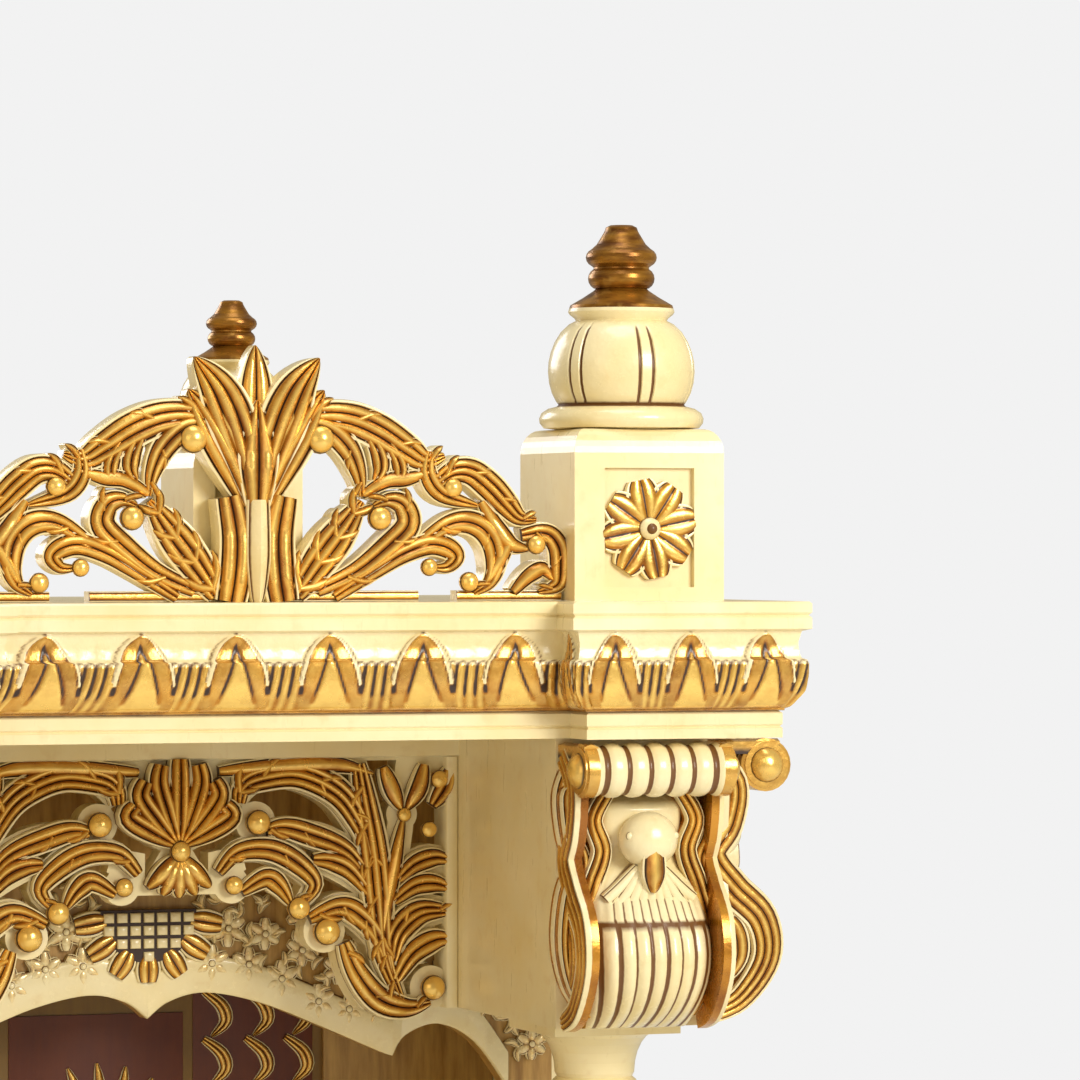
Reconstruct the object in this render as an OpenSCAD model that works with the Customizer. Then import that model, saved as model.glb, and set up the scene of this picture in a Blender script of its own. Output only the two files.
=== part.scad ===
// Wooden pooja mandir: a home shrine of painted and gilded carved wood.
// Millimetres, +Z up, front towards -Y, origin at the middle of the base's underside.

/* [Cabinet] */
// Depth of the cornice and of the plinth, front to back
cabinet_depth = 700; // [620:10:860]
// Half width of the cornice, from the middle to its outer edge
cabinet_half_w = 472; // [420:2:580]
// Width of the end blocks of the cornice and the plinth, which break forward
end_block_w = 224; // [190:2:240]
// How far the middle of the front stands back from its end blocks
middle_setback = 42; // [20:1:60]
// Thickness of the carved boards and of the wall boards that show an edge
board_t = 25; // [18:1:32]
// Thickness of the plain panels of the side walls and the cheeks
panel_t = 12; // [9:1:18]

/* [Plinth] */
// Height of the plinth, floor to the shrine's deck
plinth_h = 260; // [200:5:340]
// Height of the moulded foot
foot_h = 45; // [35:1:60]
// Height of the moulded deck slab
deck_h = 45; // [35:1:60]
// Depth of the sunk panels of the plinth and the turrets
sink = 6; // [3:1:9]

/* [Columns] */
// Height of a column with its base and capital
column_h = 470; // [400:5:560]
// Distance of a column's axis from the cornice's outer edge
column_margin = 132; // [120:1:140]
// Distance of a column's axis behind the cornice's front
column_inset = 194; // [180:1:230]
// Side of the square base block and of the abacus
column_block = 120; // [104:1:126]
// Diameter of the shaft at its widest
shaft_d = 92; // [70:1:100]

/* [Heads] */
// Height of the block that stands on a column
head_h = 258; // [220:2:300]
// Width of that block
head_w = 144; // [130:1:160]
// Depth of that block, front to back
head_d = 190; // [170:1:210]
// How far the front corbel stands out from the block
corbel_reach = 79; // [60:1:90]
// How far the side corbel stands out from the block
side_corbel_reach = 92; // [60:1:98]
// Diameter of a corbel's top roll
roll_d = 50; // [40:1:56]

/* [Room] */
// Distance of the carved frieze behind the cornice's front
frieze_inset = 370; // [330:1:420]
// Height of the frieze's plain top rail
rail_h = 27; // [18:1:36]
// Distance of the cusped arch behind the cornice's front
arch_inset = 470; // [440:1:500]
// Thickness of the cusped arch
arch_t = 20; // [15:1:25]
// Height of the middle cusp of the arch above the capitals' underside level
cusp_drop = 11; // [0:1:30]
// Width of the jambs that carry the arch
jamb_w = 46; // [36:1:60]
// Thickness of the back wall
back_t = 18; // [12:1:24]

/* [Cornice] */
// Height of the cornice
cornice_h = 120; // [100:1:150]
// Depth of the cornice's straight runs, front to inner face
run_t = 60; // [50:1:80]
// Thickness of the roof board between the runs
roof_t = 18; // [12:1:24]

/* [Turrets] */
// Side of a corner turret's box
turret_w = 142; // [120:1:156]
// Height of a corner turret's box
turret_box_h = 153; // [120:1:180]
// Distance of a turret's axis from the cornice's outer edge
turret_margin = 114; // [104:1:120]
// Distance of a turret's axis behind the cornice's front
turret_inset = 173; // [150:1:200]
// Size of the middle turret as a share of a corner turret
middle_share = 0.704; // [0.6:0.004:0.8]
// Height of the middle turret's box
middle_box_h = 136; // [110:1:160]

/* [Crest] */
// Height of the carved crest over the cornice
crest_h = 224; // [190:1:250]
// Thickness of the crest board
crest_t = 26; // [20:1:30]
// Distance of the crest behind the cornice's front
crest_inset = 122; // [110:1:140]
// Gap between the crest's ends and the turrets
crest_gap = 0.3; // [0.1:0.1:2]

/* [Hidden] */

// Levels
head_z = plinth_h + column_h;
cornice_z = head_z + head_h;
roof_z = cornice_z + cornice_h;
// Planes, front to back
front_y = -cabinet_depth / 2;
middle_y = front_y + middle_setback;
column_y = front_y + column_inset;
frieze_y = front_y + frieze_inset;
arch_y = front_y + arch_inset;
turret_y = front_y + turret_inset;
crest_y = front_y + crest_inset;
rear_y = -middle_y;
// Planes, middle to side
column_x = cabinet_half_w - column_margin;
turret_x = cabinet_half_w - turret_margin;
block_x = cabinet_half_w - end_block_w;
head_in_x = column_x - head_w / 2;
head_out_x = column_x + head_w / 2;
head_back_y = column_y + head_d / 2;
head_front_y = column_y - head_d / 2;
wall_in_x = head_out_x - panel_t;
// How far the plinth's dies stand in from its mouldings
die_inset = 14;
die_x = block_x + die_inset;
die_z = foot_h;
die_h = plinth_h - foot_h - deck_h;
middle_turret_w = turret_w * middle_share;
// Widest radius of the turned cushion, as a share of the box's side
cushion_share = 74 / 142;
middle_turret_y = crest_y + crest_t + crest_gap + middle_turret_w * cushion_share;

// ---- Mouldings: each is a list of [inset from the outermost edge, height as a share] ----

// A quarter round from [a, z0] out to [b, z1], as shares of the height
function ovolo(a, b, z0, z1) =
    [for (t = [0:15:90]) [a - (a - b) * sin(t), z0 + (z1 - z0) * (1 - cos(t))]];
// A hollow between two levels that cuts back by depth
function hollow(a, z0, z1, depth) =
    [for (t = [0:30:180]) [a + depth * sin(t), z0 + (z1 - z0) * t / 180]];
cornice_profile = concat([[20, 0], [20, 0.07], [22, 0.085], [20, 0.1], [20, 0.18], [23, 0.2]],
                         ovolo(20, 4, 0.215, 0.575), [[8, 0.59]], hollow(8, 0.6, 0.78, 3),
                         [[0, 0.8], [0, 0.88], [2.5, 0.9], [0, 0.92], [0, 0.985], [2, 1]]);
foot_profile = concat([[0, 0], [0, 0.42]], hollow(3, 0.5, 0.62, 2),
                      [for (t = [0:15:90]) [4 + 10 * (1 - cos(t)), 0.66 + 0.34 * sin(t)]]);
deck_profile = concat([[14, 0]], ovolo(14, 3, 0.06, 0.6), hollow(4, 0.64, 0.74, 2),
                      [[0, 0.78], [0, 0.96], [2, 1]]);
shoulder_profile = concat([[0, 0], [0, 0.86]],
                          [for (t = [15:15:90]) [14 * (1 - cos(t)), 0.86 + 0.14 * sin(t)]]);

// Outline of a moulding that runs round both sides of a block from a to b
function both_sides(profile, a, b, h) =
    concat([for (p = profile) [a + p[0], p[1] * h]],
           [for (i = [len(profile) - 1:-1:0]) [b - profile[i][0], profile[i][1] * h]]);

// A block whose moulding is mitred round all four sides
module moulded_block(profile, x0, x1, y0, y1, h) {
    intersection() {
        translate([0, y1, 0]) rotate([90, 0, 0])
            linear_extrude(y1 - y0) polygon(both_sides(profile, x0, x1, h));
        translate([x0, 0, 0]) rotate([90, 0, 90])
            linear_extrude(x1 - x0) polygon(both_sides(profile, y0, y1, h));
    }
}

// The plan of the plinth and the cornice: two end blocks and a middle that stands back
module moulded_plan(profile, h) {
    for (s = [-1, 1])
        moulded_block(profile, s > 0 ? block_x : -cabinet_half_w,
                      s > 0 ? cabinet_half_w : -block_x, front_y, -front_y, h);
    moulded_block(profile, -block_x - end_block_w / 2, block_x + end_block_w / 2,
                  middle_y, rear_y, h);
}

module left_right(side) {
    mirror([side < 0 ? 1 : 0, 0, 0]) children();
}

// An outline in the front view, as a board from y to y + t
module board(y, t) {
    translate([0, y + t, 0]) rotate([90, 0, 0]) linear_extrude(t) children();
}

// ---- Scrolls: ribbons whose middle line is a smooth curve through a few points ----

function smooth(a, b, c, d, t) =
    0.5 * (2 * b + (c - a) * t + (2 * a - 5 * b + 4 * c - d) * t * t
           + (3 * b - a - 3 * c + d) * t * t * t);
function curve(p, n = 4) =
    concat([for (i = [0:len(p) - 2], k = [0:n - 1])
               smooth(p[max(i - 1, 0)], p[i], p[i + 1], p[min(i + 2, len(p) - 1)], k / n)],
           [p[len(p) - 1]]);
function across(c, i) =
    let (d = c[min(i + 1, len(c) - 1)] - c[max(i - 1, 0)]) [-d[1], d[0]] / norm(d);
// Width along a ribbon: full in the middle, end_share of it at the tip
function swell(i, n, w, end_share) = w / 2 * (end_share + (1 - end_share) * sin(180 * i / n));
function ribbon(p, w, end_share = 0.45) =
    let (c = curve(p), n = len(c) - 1)
    concat([for (i = [0:n]) c[i] + across(c, i) * swell(i, n, w, end_share)],
           [for (i = [n:-1:0]) c[i] - across(c, i) * swell(i, n, w, end_share)]);
function fitted(p, k) = [for (q = p) [q[0] * k[0], q[1] * k[1]]];

module scrolls(list, balls, k, ground = 0) {
    for (s = [0, 1]) mirror([s, 0]) {
        for (r = list) polygon(fitted(ribbon(r[1], r[0] + ground), k));
        for (b = balls) translate([b[0] * k[0], b[1] * k[1]]) circle(b[2] + ground / 2, $fn = 24);
    }
}

// ---- Plinth ----

module plinth_foot() {
    color("ivory") moulded_plan(foot_profile, foot_h);
}

// A hollow die under each end block, with a sunk panel on its front, back and outer side
module plinth_die(side) {
    w = end_block_w - 2 * die_inset;
    d = cabinet_depth - 2 * die_inset;
    margin = 36;
    color("ivory") left_right(side) translate([die_x, -d / 2, die_z]) difference() {
        cube([w, d, die_h]);
        translate([board_t, board_t, -1])
            cube([w - 2 * board_t, d - 2 * board_t, die_h + 2]);
        for (y = [-1, d - sink])
            translate([margin, y, margin])
                cube([w - 2 * margin, sink + 1, die_h - 2 * margin]);
        for (i = [0, 1])
            translate([w - sink, margin + i * (d / 2 - margin / 2), margin])
                cube([sink + 1, d / 2 - 1.5 * margin, die_h - 2 * margin]);
    }
}

module plinth_panel(y) {
    margin = 36;
    outward = y < 0;
    color("ivory") difference() {
        translate([-die_x, y, die_z]) cube([2 * die_x, board_t, die_h]);
        translate([-die_x + margin, outward ? y - 1 : y + board_t - sink, die_z + margin])
            cube([2 * (die_x - margin), sink + 1, die_h - 2 * margin]);
    }
}

module floor_deck() {
    color("ivory") translate([0, 0, plinth_h - deck_h]) moulded_plan(deck_profile, deck_h);
}

// ---- Columns, heads and corbels ----

module column(side) {
    b = column_block;
    r = shaft_d / 2;
    base_h = 50;
    cap_h = 37;
    abacus_h = 10;
    shaft_z = base_h;
    cap_z = column_h - abacus_h - cap_h;
    shaft_l = cap_z - shaft_z;
    color("ivory") translate([side * column_x, column_y, plinth_h]) {
        translate([-b / 2, -b / 2, 0]) cube([b, b, base_h]);
        translate([-b / 2, -b / 2, column_h - abacus_h]) cube([b, b, abacus_h]);
        rotate_extrude($fn = 64) polygon(concat(
            [[0, shaft_z - 1], [r + 8, shaft_z - 1]],
            [for (t = [0:30:180]) [r + 4 + 7 * sin(t), shaft_z + 16 * t / 180]],
            [[r - 4, shaft_z + 20]],
            [for (t = [0:0.1:1]) [r - 4 - 14 * t + 18 * sin(180 * t) * (1 - t),
                                  shaft_z + 20 + (shaft_l - 44) * t]],
            [for (t = [0:45:180]) [r - 12 + 5 * sin(t), cap_z - 16 + 12 * t / 180]],
            [for (t = [0:15:90]) [r - 10 + (b / 2 - r + 8) * (1 - cos(t)), cap_z + cap_h * sin(t)]],
            [[0, cap_z + cap_h]]));
    }
}

module head(side) {
    color("ivory") left_right(side) translate([head_in_x, head_front_y, head_z])
        cube([head_w, head_d, head_h]);
}

// Side view of a corbel: roll at the top, swan's head under it, breast and folded feathers
function corbel_outline(reach, h) =
    let (r = roll_d / 2)
    concat([[0, 0], [reach * 0.3, 0]],
           curve([[reach * 0.3, 0], [reach * 0.72, h * 0.1], [reach * 0.92, h * 0.22],
                  [reach * 0.86, h * 0.36], [reach * 0.62, h * 0.48], [reach * 0.72, h * 0.62],
                  [reach * 0.56, h * 0.74]]),
           [for (t = [-60:20:110]) [reach - r + r * cos(t), h - r + r * sin(t)]],
           [[0, h]]);

module corbel(reach, w) {
    h = head_h - 2;
    rotate([90, 0, -90]) translate([0, 0, -w / 2])
        linear_extrude(w) polygon(corbel_outline(reach, h));
}

module corbel_front(side) {
    color("goldenrod") translate([side * column_x, head_front_y, head_z])
        corbel(corbel_reach, head_w);
}

module corbel_side(side) {
    color("goldenrod") left_right(side) translate([head_out_x, column_y, head_z])
        rotate([0, 0, 90]) corbel(side_corbel_reach, head_w);
}

// ---- Room ----

module cheek(side) {
    color("ivory") left_right(side) translate([head_in_x, head_back_y, head_z])
        cube([panel_t, frieze_y + board_t - head_back_y, head_h]);
}

// Carved frieze between the cheeks: top rail, end stiles and scrolls over an arched edge
frieze_scrolls = [
    [20, [[57, -39], [75, -19], [113, -14], [151, -30], [172, -57], [182, -84], [191, -120]]],
    [16, [[38, -102], [56, -84], [86, -82], [113, -95], [130, -115], [114, -136]]],
    [18, [[127, -149], [151, -136], [170, -142], [191, -165], [204, -201]]],
    [18, [[158, -169], [170, -196], [191, -223], [218, -230], [242, -226]]],
    [22, [[172, 4], [178, -39], [186, -84], [191, -129], [197, -183], [216, -228]]],
    [16, [[86, -66], [123, -68], [161, -84], [185, -111]]],
    [16, [[130, -93], [161, -102], [185, -124]]],
    [14, [[194, -165], [206, -110], [216, -52], [218, 4]]],
    [26, [[214, -20], [240, -12], [262, -20]]],
    [24, [[210, -112], [238, -98], [264, -96]]],
    [24, [[204, -183], [216, -156], [238, -142], [266, -142]]]
];
frieze_balls = [[75, -57, 13], [52, -114, 11], [141, -158, 14], [244, -212, 14], [216, -52, 9]];
// Extra width of the plain ground that is left round the frieze's scrolls
ground = 12;
// Half width and height for which the frieze's points are given
frieze_design = [268, 231];

module frieze() {
    k = [head_in_x / frieze_design[0], (head_h - rail_h) / frieze_design[1]];
    nick = 1.5;
    color("ivory") translate([0, 0, cornice_z - rail_h]) board(frieze_y, board_t)
        intersection() {
            offset(delta = -nick) offset(delta = nick) frieze_outline(k);
            translate([-head_in_x, rail_h - head_h]) square([2 * head_in_x, head_h]);
        }
}

module frieze_outline(k) {
    translate([-head_in_x, -2]) square([2 * head_in_x, rail_h + 2]);
    for (s = [0, 1]) mirror([s, 0])
        translate([head_in_x - 8, rail_h - head_h]) square([8, head_h]);
    scrolls(frieze_scrolls, frieze_balls, k, ground);
    // Shell in the middle with its stem
    translate([0, -39 * k[1]]) circle(45, $fn = 48);
    polygon(fitted([[-14, -80], [14, -80], [40, -122], [-40, -122]], k));
    polygon(fitted([[-60, -2], [60, -2], [60, -34], [-60, -34]], k));
    polygon(fitted([[30, -84], [60, -78], [66, -100], [30, -122]], k));
    polygon(fitted([[-30, -84], [-60, -78], [-66, -100], [-30, -122]], k));
}

// Lower edge of the arch, right half: a cusp in the middle, two lobes and the jamb's level
function arch_edge(z) =
    concat(curve([[0, z], [22, z + 16], [57, z + 23], [110, z + 12], [170, z - 12], [225, z - 36],
                  [239, z - 41]], 3),
           curve([[239, z - 41], [252, z - 22], [284, z - 12], [321, z - 30],
                  [wall_in_x - jamb_w, z - 74]], 3));

module arch_valance() {
    z = head_z - cusp_drop;
    edge = arch_edge(z);
    bottom = z - 74;
    color("ivory") board(arch_y, arch_t)
        for (s = [0, 1]) mirror([s, 0])
            polygon(concat(edge, [[wall_in_x, bottom], [wall_in_x, cornice_z], [0, cornice_z]]));
}

module jamb(side) {
    top = head_z - cusp_drop - 74;
    color("ivory") left_right(side) translate([wall_in_x - jamb_w, arch_y, plinth_h])
        cube([jamb_w, arch_t, top - plinth_h]);
}

// Closed behind the arch, and above the columns' level forward to the head
module side_wall(side) {
    end_y = rear_y - back_t;
    color("ivory") left_right(side) translate([wall_in_x, 0, 0]) rotate([90, 0, 90])
        linear_extrude(panel_t)
            polygon([[arch_y, plinth_h], [end_y, plinth_h], [end_y, cornice_z],
                     [head_back_y, cornice_z], [head_back_y, head_z], [arch_y, head_z]]);
}

module back_wall() {
    color("olive") translate([-head_out_x, rear_y - back_t, plinth_h])
        cube([2 * head_out_x, back_t, cornice_z - plinth_h]);
}

// ---- Cornice and roof ----

module cornice_end(side) {
    color("ivory") left_right(side) translate([0, 0, cornice_z])
        moulded_block(cornice_profile, block_x, cabinet_half_w, front_y, -front_y, cornice_h);
}

// A straight run between the end blocks, cut to their moulding
module cornice_run(back) {
    reach = block_x + end_block_w / 2;
    color("ivory") mirror([0, back ? 1 : 0, 0]) difference() {
        translate([-reach, 0, cornice_z]) rotate([90, 0, 90]) linear_extrude(2 * reach)
            polygon(concat([for (p = cornice_profile) [middle_y + p[0], p[1] * cornice_h]],
                           [[middle_y + run_t, cornice_h], [middle_y + run_t, 0]]));
        for (s = [-1, 1]) cornice_end(s);
    }
}

module roof_deck() {
    y0 = middle_y + run_t;
    color("ivory") difference() {
        translate([-block_x - end_block_w / 2, y0, roof_z - roof_t])
            cube([2 * block_x + end_block_w, -2 * y0, roof_t]);
        for (s = [-1, 1]) cornice_end(s);
    }
}

// ---- Crest ----

crest_scrolls = [
    [24, [[39, 165], [86, 164], [116, 158], [135, 147], [155, 135], [172, 129]]],
    [18, [[36, 150], [62, 158], [84, 140], [92, 112], [97, 92]]],
    [22, [[160, 118], [181, 117], [198, 118], [215, 106], [231, 89], [244, 75], [259, 72]]],
    [20, [[248, 62], [268, 62], [282, 50], [284, 28], [280, 12], [262, 6]]],
    [20, [[154, 55], [176, 68], [193, 73], [211, 67], [222, 52], [224, 31], [217, 15], [207, 4]]],
    [18, [[74, 2], [111, 28], [135, 42], [159, 52], [176, 49], [185, 40], [176, 30], [159, 28]]],
    [20, [[60, 8], [91, 24], [122, 50], [142, 69], [135, 86], [122, 90], [107, 84]]],
    [26, [[39, 15], [62, 40], [84, 66], [98, 87]]],
    [16, [[154, 132], [160, 110], [176, 92], [206, 84]]],
    [14, [[216, 84], [226, 66], [236, 48], [252, 44]]],
    [12, [[232, 50], [222, 34], [214, 20]]],
    [16, [[84, 100], [106, 108], [136, 110], [162, 116]]],
    [34, [[6, 86], [22, 118], [40, 146], [44, 158]]],
    [30, [[8, 110], [26, 150], [50, 178], [62, 186]]],
    [30, [[6, 130], [26, 170], [46, 200], [57, 213]]]
];
crest_balls = [[58, 142, 13], [181, 100, 10], [259, 50, 10], [196, 17, 10], [113, 73, 12]];
// Half width and height for which the crest's points are given
crest_design = [287, 224];

module crest() {
    half_w = turret_x - turret_w / 2 - crest_gap;
    k = [half_w / crest_design[0], crest_h / crest_design[1]];
    nick = 1.5;
    color("goldenrod") translate([0, 0, roof_z]) board(crest_y, crest_t) intersection() {
        // Closing the narrowest nicks between scrolls leaves no knife edges
        offset(delta = -nick) offset(delta = nick) union() {
            scrolls(crest_scrolls, crest_balls, k);
            // Vase and the palmette's middle leaf
            polygon(fitted(concat(curve([[-37, 91], [-26, 60], [-24, 30], [-34, 0]]),
                                  curve([[34, 0], [24, 30], [26, 60], [37, 91]])), k));
            polygon(fitted([[-20, 80], [20, 80], [24, 150], [10, 190], [0, 224],
                            [-10, 190], [-24, 150]], k));
            for (s = [0, 1]) mirror([s, 0])
                polygon(fitted([[30, 0], [60, 0], [110, 0], [96, 20], [60, 24], [30, 16]], k));
            for (s = [0, 1]) mirror([s, 0])
                polygon(fitted([[186, 0], [286, 0], [286, 12], [186, 12]], k));
        }
        translate([-half_w, 0]) square([2 * half_w, crest_h]);
    }
}

// ---- Turrets ----

module turret_box(w, h, panel_low, panel_high) {
    pw = w * 0.6;
    difference() {
        moulded_block(shoulder_profile, -w / 2, w / 2, -w / 2, w / 2, h);
        translate([-pw / 2, -w / 2 - 1, panel_low])
            cube([pw, sink + 1, panel_high - panel_low]);
    }
}

// Round cushion, onion ball and dished collar, turned as one piece
function ball_outline(k) = [for (p = concat(
    [[0, 0], [58, 0]],
    [for (t = [0:20:180]) [60 + 14 * sin(t), 20 * t / 180]],
    [[57, 21]],
    [for (t = [-52:13:52]) [13 + 53 * cos(t), 58 + 45 * sin(t)]],
    [[40, 96], [41, 98], [46, 103], [48, 106], [47, 109], [0, 109]])) p * k];

module turret_ball(k) {
    rotate_extrude($fn = 72) polygon(ball_outline(k));
}

function finial_outline(k) = [for (p = concat(
    [[0, 0], [47, 0], [46, 3], [34, 10], [25, 16], [23, 18]],
    [for (t = [-60:20:60]) [20 + 10 * cos(t), 27 + 10 * sin(t)]],
    [[25, 37]],
    [for (t = [-60:20:60]) [21 + 11 * cos(t), 46 + 9 * sin(t)]],
    [[22, 58], [16, 68], [15, 70], [14, 73], [10, 75], [0, 75]])) p * k];

module finial(k) {
    rotate_extrude($fn = 48) polygon(finial_outline(k));
}

ball_h = 109;

module turret_box_corner(side) {
    color("ivory") translate([side * turret_x, turret_y, roof_z])
        turret_box(turret_w, turret_box_h, 12, turret_box_h - 35);
}

module turret_ball_corner(side) {
    color("ivory") translate([side * turret_x, turret_y, roof_z + turret_box_h])
        turret_ball(turret_w / 142);
}

module finial_corner(side) {
    k = turret_w / 142;
    color("goldenrod") translate([side * turret_x, turret_y, roof_z + turret_box_h + ball_h * k])
        finial(k);
}

module middle_turret_box() {
    color("ivory") translate([0, middle_turret_y, roof_z])
        turret_box(middle_turret_w, middle_box_h, 30, middle_box_h - 25);
}

module middle_turret_ball() {
    color("ivory") translate([0, middle_turret_y, roof_z + middle_box_h])
        turret_ball(middle_turret_w / 142);
}

module middle_finial() {
    k = middle_turret_w / 142;
    color("goldenrod") translate([0, middle_turret_y, roof_z + middle_box_h + ball_h * k])
        finial(k);
}

plinth_foot();
plinth_die(-1);  // plinth_die_left
plinth_die(1);  // plinth_die_right
plinth_panel(middle_y + die_inset);  // plinth_panel_front
plinth_panel(rear_y - die_inset - board_t);  // plinth_panel_back
floor_deck();
column(-1);  // column_left
column(1);  // column_right
head(-1);  // head_left
head(1);  // head_right
corbel_front(-1);  // corbel_front_left
corbel_front(1);  // corbel_front_right
corbel_side(-1);  // corbel_side_left
corbel_side(1);  // corbel_side_right
cheek(-1);  // cheek_left
cheek(1);  // cheek_right
frieze();
arch_valance();
jamb(-1);  // jamb_left
jamb(1);  // jamb_right
side_wall(-1);  // side_wall_left
side_wall(1);  // side_wall_right
back_wall();
cornice_end(-1);  // cornice_left
cornice_end(1);  // cornice_right
cornice_run(false);  // cornice_front
cornice_run(true);  // cornice_back
roof_deck();
crest();
turret_box_corner(-1);  // turret_box_left
turret_box_corner(1);  // turret_box_right
turret_ball_corner(-1);  // turret_ball_left
turret_ball_corner(1);  // turret_ball_right
finial_corner(-1);  // finial_left
finial_corner(1);  // finial_right
middle_turret_box();
middle_turret_ball();
middle_finial();
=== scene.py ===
import math

import bpy
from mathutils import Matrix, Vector


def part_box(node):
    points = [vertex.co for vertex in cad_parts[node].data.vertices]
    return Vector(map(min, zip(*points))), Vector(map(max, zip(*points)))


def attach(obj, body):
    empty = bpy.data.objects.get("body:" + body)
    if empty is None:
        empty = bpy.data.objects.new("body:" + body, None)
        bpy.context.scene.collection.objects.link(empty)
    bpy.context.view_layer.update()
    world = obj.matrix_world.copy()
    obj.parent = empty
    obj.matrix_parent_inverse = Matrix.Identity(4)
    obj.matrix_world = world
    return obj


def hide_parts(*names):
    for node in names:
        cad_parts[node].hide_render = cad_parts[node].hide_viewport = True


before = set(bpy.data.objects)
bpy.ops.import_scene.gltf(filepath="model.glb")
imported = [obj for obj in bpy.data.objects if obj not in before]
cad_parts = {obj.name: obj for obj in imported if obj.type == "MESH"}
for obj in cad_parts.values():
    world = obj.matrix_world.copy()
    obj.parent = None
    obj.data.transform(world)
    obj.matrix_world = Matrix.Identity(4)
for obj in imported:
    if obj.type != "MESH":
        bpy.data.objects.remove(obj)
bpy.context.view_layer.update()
print("frame loaded:", len(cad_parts), "nodes")

mm = 0.001
pi = math.pi


class Wire:
    # one socket of a shader tree, so that maths on it reads as an expression
    def __init__(self, tree, socket):
        self.tree = tree
        self.socket = socket

    def node(self, kind, settings=None, out=0, **inputs):
        made = self.tree.nodes.new(kind)
        for name, value in (settings or {}).items():
            setattr(made, name, value)
        for name, value in inputs.items():
            key = int(name[1:]) if name[0] == "i" and name[1:].isdigit() else name.replace("_", " ")
            if isinstance(value, Wire):
                self.tree.links.new(value.socket, made.inputs[key])
            else:
                made.inputs[key].default_value = value
        return Wire(self.tree, made.outputs[out])

    def maths(self, operation, a, b=0.0, c=0.0):
        return self.node("ShaderNodeMath", {"operation": operation}, i0=a, i1=b, i2=c)

    def __add__(self, other):
        return self.maths("ADD", self, other)

    def __radd__(self, other):
        return self.maths("ADD", other, self)

    def __sub__(self, other):
        return self.maths("SUBTRACT", self, other)

    def __rsub__(self, other):
        return self.maths("SUBTRACT", other, self)

    def __mul__(self, other):
        return self.maths("MULTIPLY", self, other)

    def __rmul__(self, other):
        return self.maths("MULTIPLY", other, self)

    def clamp(self, low=0.0, high=1.0):
        return self.node("ShaderNodeClamp", i0=self, i1=low, i2=high)

    def spread(self, low, high, toLow=0.0, toHigh=1.0):
        return self.node("ShaderNodeMapRange", i0=self, i1=low, i2=high, i3=toLow, i4=toHigh)

    def mix(self, factor, a, b):
        # a and b are colours, as sockets or as three numbers
        a = a if isinstance(a, Wire) else (*a, 1)
        b = b if isinstance(b, Wire) else (*b, 1)
        return self.node("ShaderNodeMix", {"data_type": "RGBA"}, out=2, i0=factor, i6=a, i7=b)


def newMaterial(name):
    made = bpy.data.materials.new(name)
    made.use_nodes = True
    tree = made.node_tree
    shader = tree.nodes["Principled BSDF"]
    start = Wire(tree, tree.nodes.new("ShaderNodeTexCoord").outputs["Object"])
    return made, tree, shader, start


def noise(start, scale, detail=3.0, roughness=0.5, squash=(1, 1, 1)):
    place = start.node("ShaderNodeMapping", Vector=start, Scale=squash)
    return start.node("ShaderNodeTexNoise", Vector=place, Scale=scale, Detail=detail, Roughness=roughness)


def attribute(start, name):
    return start.node("ShaderNodeAttribute", {"attribute_name": name}, out=2)


# cream paint; its dark brown is painted shade, laid into the cuts and grooves
creamLook = {
    "paint": (0.86, 0.71, 0.37), "pale": (0.93, 0.82, 0.52), "warm": (0.70, 0.48, 0.18),
    "creamShade": (0.16, 0.06, 0.008), "coat": 0.35,
}
# gold paint; the near-black is painted shade in the cuts, the bright gold a painted highlight on the ridges
goldLook = {
    "bright": (0.95, 0.62, 0.15), "paint": (0.62, 0.27, 0.02), "deep": (0.34, 0.115, 0.008),
    "cut": (0.03, 0.008, 0.001), "metal": 0.55,
}
antiqueLook = {
    "dark": (0.15, 0.05, 0.004), "brown": (0.42, 0.19, 0.02), "rubbed": (0.62, 0.36, 0.08), "metal": 0.6,
}
wallLook = {
    # each paint's dark and pale tone; the tan is the cream painted darker as painted shade
    "olive": ((0.17, 0.085, 0.012), (0.27, 0.15, 0.025)), "tan": ((0.30, 0.15, 0.03), (0.62, 0.38, 0.11)),
    "maroon": ((0.10, 0.018, 0.01), (0.17, 0.04, 0.012)),
}


def creamColour(start):
    cloud = noise(start, 9, 4, 0.6)
    fine = noise(start, 55, 3, 0.55)
    base = start.mix(cloud.spread(0.35, 0.7), creamLook["paint"], creamLook["pale"])
    return start.mix(fine.spread(0.58, 0.8, 0, 0.35), base, creamLook["warm"])


def goldColour(start, cut, high):
    # painted highlight: the high mark with some streaks turns the ridges bright gold; painted shade: the cuts
    # go near-black
    streak = noise(start, 70, 4, 0.6)
    patch = noise(start, 22, 3, 0.5)
    body = start.mix(patch.spread(0.38, 0.62), goldLook["deep"], goldLook["paint"])
    lit = (high * 0.75 + streak * 0.5).spread(0.45, 0.95)
    body = start.mix(lit, body, goldLook["bright"])
    return start.mix(cut, body, goldLook["cut"])


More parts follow.
